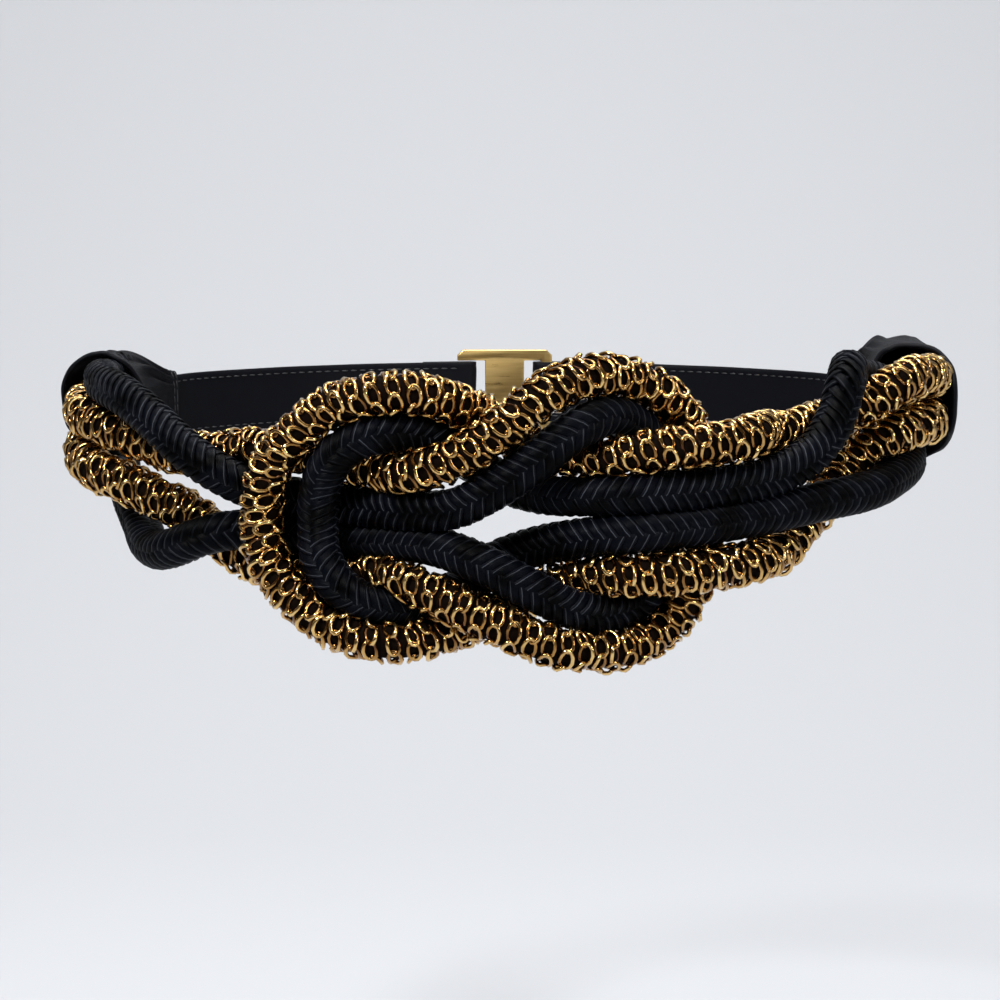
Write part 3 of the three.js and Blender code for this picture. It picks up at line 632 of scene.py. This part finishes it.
# Blender lists a ball's faces in another order each time, so they are sorted.
stitch_faces = sorted(list(face.vertices) for face in stitch.data.polygons)
bpy.data.objects.remove(stitch)


def sew(name, node, centres, along, outward):
    """One piece of joined stitches, at each centre, along the seam and half out of the cloth."""
    along = unit(along)
    outward = square_to(along, outward)
    axes = np.stack((along, np.cross(outward, along), outward), 1)
    corners = (stitch_corners[None] @ axes + centres[:, None]).reshape(-1, 3)
    faces = [[corner + n * len(stitch_corners) for corner in face]
             for n in range(len(centres)) for face in stitch_faces]
    seam = mesh_piece(name, corners, faces)
    seam.data.materials.append(thread)
    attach(seam, "root")
    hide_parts(node)


def thicken(sheet, thickness, offset):
    """Give a sheet its thickness: on its inner side for an offset of -1, on both for 0."""
    wall = sheet.modifiers.new("wall", "SOLIDIFY")
    wall.thickness = thickness
    wall.offset = offset
    bpy.context.view_layer.objects.active = sheet
    bpy.ops.object.modifier_apply(modifier="wall")


def ridge(place, middle, half_width):
    """A rounded ridge of height 1 at the middle."""
    return np.exp(-(((place - middle) / half_width) ** 2))


for word, side in (("left", -1), ("right", 1)):
    share = np.linspace(0, 1, CAP_RINGS)[:, None]
    angle = np.linspace(0, 2 * np.pi, CAP_POINTS, endpoint=False)[None]
    ropes_end, first_fall = CAP_ROPES_END[word], CAP_TOP_FALL[word]
    narrow = ease((share - ropes_end) / (CAP_NECK_FULL - ropes_end))
    fall = (1 - first_fall) * narrow + first_fall * ease(share / ropes_end)
    top = CAP_TOP[word] * (1 - fall) + (STRAP_UP + CAP_NECK_HALF[0]) * fall
    bottom = CAP_BOTTOM[word] * (1 - narrow) + (STRAP_UP - CAP_NECK_HALF[0]) * narrow
    half_up, middle_up = (top - bottom) / 2, (top + bottom) / 2
    half_lift = CAP_BUNDLE_HALF_LIFT * (1 - narrow) + CAP_NECK_HALF[1] * narrow
    middle_lift = CAP_BUNDLE_LIFT * (1 - narrow) + STRAP_LIFT * narrow
    square = np.where(np.sin(angle) > 0, CAP_TOP_SQUARE[word], CAP_BOTTOM_SQUARE[word])
    squareness = 2 / (square * (1 - narrow) + CAP_NECK_SQUARE * narrow)
    up = np.sign(np.sin(angle)) * np.abs(np.sin(angle)) ** squareness
    lift = np.sign(np.cos(angle)) * np.abs(np.cos(angle)) ** squareness
    gather = ease((share - 0.12) / 0.5) * (1 - ease((share - 0.86) / 0.1))
    pleats = np.cos(13 * angle + 1.1 * np.sin(2 * angle) + 1.6 * share)
    pleats = pleats + 0.5 * np.cos(21 * angle - 2.2 * share + 0.8)
    swell = CAP_HEM * ridge(share, 0.035, 0.03) - CAP_SEAM * ridge(share, 0.09, 0.02)
    swell = swell + CAP_PLEAT * gather * pleats
    swell = swell + CAP_WAVE * np.sin(3 * angle + 5 * share) * (1 - narrow)
    lift_swell = swell * np.where(half_lift > CAP_THIN_HALF_LIFT, 1, CAP_THIN_SWELL)
    mouth = CAP_MOUTH_AT[word] - CAP_MOUTH_LEAN[word] * up
    mouth = mouth - CAP_MOUTH_OUT[word] * np.maximum(0, lift) ** 2
    mouth = mouth + 0.0006 * np.sin(5 * angle) + 0.0004 * np.sin(11 * angle + 1)
    around = mouth + (CAP_NECK - mouth) * share
    corners = on_waist(
        side * around,
        middle_up + up * (half_up + swell),
        middle_lift + lift * (half_lift + lift_swell),
    )
    uv = np.stack(np.broadcast_arrays(share * 1.2, angle / np.pi), -1)
    faces = ring_faces(CAP_RINGS, CAP_POINTS)
    if side > 0:
        faces = faces[:, ::-1]
    cap = mesh_piece(f"end_cap_{word}_satin", corners.reshape(-1, 3), faces, uv.reshape(-1, 2))
    thicken(cap, CAP_WALL, -1)
    cap.data.materials.append(satin_cloth)
    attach(cap, "root")
    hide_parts(f"end_cap_{word}")

    # A row of stitches behind the hem, and two rows across the neck.
    rings = corners.reshape(CAP_RINGS, CAP_POINTS, 3)
    centres, along, outward = [], [], []
    for ring in CAP_STITCHED_RINGS:
        girth = rings[ring]
        step = np.linalg.norm(np.roll(girth, -1, axis=0) - girth, axis=1)
        run = np.concatenate(((0,), np.cumsum(step)))
        for spot in np.arange(0, run[-1] - STITCH_STEP / 2, STITCH_STEP):
            i = int(np.searchsorted(run, spot, side="right")) - 1
            centres.append(girth[i])
            along.append(girth[(i + 1) % CAP_POINTS] - girth[i - 1])
            behind = rings[ring + 1, i] - rings[ring - 1, i]
            outward.append(side * np.cross(behind, along[-1]))
    centres, along, outward = map(np.array, (centres, along, outward))
    sew(f"end_cap_{word}_stitches", f"end_cap_{word}", centres, along, outward)

# The back straps are flat satin, folded over and sewn. Each comes out of a cap's neck,
# lies along the waist, goes round the hook's bar and is sewn back on itself.
STRAP_START = 0.2023
BAR_INNER = 0.32985
FOLD_RADIUS = 0.0021
FOLD_BACK = 0.016
stations = [(around, STRAP_LIFT, 0.0) for around in np.linspace(STRAP_START, BAR_INNER, 60)]
stations += [
    (BAR_INNER + FOLD_RADIUS * math.sin(a), STRAP_LIFT + FOLD_RADIUS * (1 - math.cos(a)), a)
    for a in np.linspace(0, math.pi, 14)[1:-1]]
stations += [(around, STRAP_LIFT + 2 * FOLD_RADIUS, math.pi)
             for around in np.linspace(BAR_INNER, BAR_INNER - FOLD_BACK, 12)]
stations = np.array(stations)
STRAP_COLUMNS = 17
STRAP_HEM = 0.00022
STRAP_RIPPLE = 0.00018
for word, side in (("left", -1), ("right", 1)):
    across = np.linspace(-1, 1, STRAP_COLUMNS)[None]
    around, lift, heading = (stations[:, i][:, None] for i in range(3))
    step = np.hypot(np.diff(stations[:, 0]), np.diff(stations[:, 1]))
    run = np.concatenate(((0,), np.cumsum(step)))[:, None]
    ripple = STRAP_RIPPLE * np.sin(run * 210 + 2 * across) * (1 - across**2)
    ripple = ripple + STRAP_HEM * ridge(np.abs(across), 0.93, 0.05)
    corners = on_waist(
        side * (around - ripple * np.sin(heading)),
        across * STRAP_WIDTH / 2 + STRAP_UP,
        lift + ripple * np.cos(heading))
    uv = np.stack(np.broadcast_arrays(run * 8, across * 0.12), -1)
    rows = len(stations)
    first = (np.arange(rows - 1) * STRAP_COLUMNS)[:, None] + np.arange(STRAP_COLUMNS - 1)[None]
    faces = np.stack((first, first + 1, first + STRAP_COLUMNS + 1, first + STRAP_COLUMNS), -1)
    faces = faces.reshape(-1, 4)
    if side > 0:
        faces = faces[:, ::-1]
    strap = mesh_piece(
        f"back_strap_{word}_satin", corners.reshape(-1, 3), faces, uv.reshape(-1, 2))
    thicken(strap, STRAP_THICKNESS, 0)
    strap.data.materials.append(satin_cloth)
    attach(strap, "root")
    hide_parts(f"back_strap_{word}")

    # A row of stitches along each edge, on both faces, and two rows across the sewn fold.
    skin = STRAP_THICKNESS / 2 + 0.0001
    top = STRAP_LIFT + 2 * FOLD_RADIUS + skin
    fold_edge = BAR_INNER - FOLD_BACK
    edge_up = STRAP_WIDTH / 2 - STITCH_INSET
    rows = []
    for up in (-edge_up, edge_up):
        for start, end, lift, face in (
                (CAP_NECK + SEAM_MARGIN, fold_edge - SEAM_MARGIN, STRAP_LIFT + skin, 1),
                (CAP_NECK + SEAM_MARGIN, BAR_INNER - 0.004, STRAP_LIFT - skin, -1),
                (fold_edge + 0.006, BAR_INNER - 0.001, top, 1)):
            rows += [(a, up, lift, face, 0) for a in np.arange(start, end, STITCH_STEP)]
    for a in (fold_edge + SEAM_MARGIN, fold_edge + 0.0045):
        rows += [(a, up, top, 1, 1) for up in np.arange(-edge_up, edge_up, STITCH_STEP)]
    around, up, lift, face, across_strap = np.array(rows).T
    up = up + STRAP_UP
    centres = on_waist(side * around, up, lift)
    along = on_waist(
        side * around + 0.001 * (1 - across_strap), up + 0.001 * across_strap, lift) - centres
    outward = (on_waist(side * around, up, lift + 0.001) - centres) * face[:, None]
    sew(f"back_strap_{word}_stitches", f"back_strap_{word}", centres, along, outward)

# The hook is one brass plate, bent to the waist. One strap is sewn round its closed bar,
# and the other strap's loop slips over the open one.
HOOK_EDGE = 0.0004
deselect_all()
hook = frame["nodes"]["hook"].copy()
hook.data = hook.data.copy()
hook.name = "hook_plate"
hook.parent = None
hook.hide_render = False
bpy.context.scene.collection.objects.link(hook)
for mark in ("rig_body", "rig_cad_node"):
    del hook[mark]
hook.select_set(True)
bpy.context.view_layer.objects.active = hook
bpy.ops.object.mode_set(mode="EDIT")
bpy.ops.mesh.select_all(action="SELECT")
bpy.ops.mesh.remove_doubles(threshold=0.00001)
bpy.ops.mesh.tris_convert_to_quads()
bpy.ops.object.mode_set(mode="OBJECT")
edge = hook.modifiers.new("edge", "BEVEL")
edge.width = HOOK_EDGE
edge.segments = 3
edge.angle_limit = math.radians(40)
bpy.ops.object.modifier_apply(modifier="edge")
bpy.ops.object.shade_smooth_by_angle(angle=math.radians(35))
hook_brass, nodes, links, shader = new_material("hook_brass")
shader.inputs["Metallic"].default_value = 1.0
place = nodes.new("ShaderNodeTexCoord")
brushing = nodes.new("ShaderNodeTexNoise")
brushing.inputs["Scale"].default_value = 90
brushing.inputs["Detail"].default_value = 5
stretch = nodes.new("ShaderNodeMapping")
stretch.inputs["Scale"].default_value = (1, 1, 14)
links.new(place.outputs["Object"], stretch.inputs["Vector"])
links.new(stretch.outputs["Vector"], brushing.inputs["Vector"])
tint = nodes.new("ShaderNodeValToRGB")
tint.color_ramp.elements[0].color = (0.55, 0.34, 0.10, 1)
tint.color_ramp.elements[1].color = (0.83, 0.60, 0.25, 1)
links.new(brushing.outputs["Fac"], tint.inputs["Fac"])
links.new(tint.outputs["Color"], shader.inputs["Base Color"])
wear = nodes.new("ShaderNodeMapRange")
wear.inputs["To Min"].default_value = 0.2
wear.inputs["To Max"].default_value = 0.42
links.new(brushing.outputs["Fac"], wear.inputs["Value"])
links.new(wear.outputs["Result"], shader.inputs["Roughness"])
hook.data.materials.clear()
hook.data.materials.append(hook_brass)
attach(hook, "root")
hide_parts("hook")

# The floor and the backdrop are one pale sheet, curved up behind, in soft studio light.
SHEET_HALF_WIDTH = 6
SHEET_FRONT = -6.0
SHEET_TOP = 3.0
SHEET_BEND = 0.9
SHEET_BACK = 1.5
FLOOR_LEVEL = -0.30
bend = np.linspace(0, np.pi / 2, 24)
profile = np.concatenate((
    [(SHEET_FRONT, FLOOR_LEVEL)],
    np.stack((SHEET_BACK - SHEET_BEND + SHEET_BEND * np.sin(bend),
              FLOOR_LEVEL + SHEET_BEND * (1 - np.cos(bend))), -1),
    [(SHEET_BACK, SHEET_TOP)]))
corners = np.array([
    (x, y, z) for y, z in profile for x in (-SHEET_HALF_WIDTH, SHEET_HALF_WIDTH)])
first = np.arange(len(profile) - 1) * 2
faces = np.stack((first, first + 1, first + 3, first + 2), -1)
floor = mesh_piece("floor", corners, faces)
paper, nodes, links, shader = new_material("paper")
shader.inputs["Base Color"].default_value = (0.50, 0.51, 0.53, 1)
shader.inputs["Roughness"].default_value = 0.8
floor.data.materials.append(paper)

for name, spot, size, power, turn in (
        ("key", (-0.55, -0.95, 0.95), 0.25, 19, (45, 0, -30)),
        ("fill", (0.9, -0.9, 0.35), 0.3, 5, (69, 0, 45)),
        ("top", (0.1, 0.25, 1.1), 0.6, 8, (-12, 0, 0)),
        ("backdrop", (0, 0.3, 1.3), 1.2, 10, (50, 0, 0)),
        ("room", (0, 0, 2.6), 4, 60, (0, 0, 0))):
    lamp = bpy.data.lights.new(name, "AREA")
    lamp.size = size
    lamp.energy = power
    stand = bpy.data.objects.new(name, lamp)
    stand.location = spot
    stand.rotation_euler = [math.radians(v) for v in turn]
    bpy.context.scene.collection.objects.link(stand)
bpy.context.scene.view_settings.view_transform = "Standard"
world = bpy.data.worlds.new("world")
bpy.context.scene.world = world
world.use_nodes = True
sky = world.node_tree.nodes["Background"]
sky.inputs["Color"].default_value = (0.9, 0.93, 1, 1)
sky.inputs["Strength"].default_value = 0.12
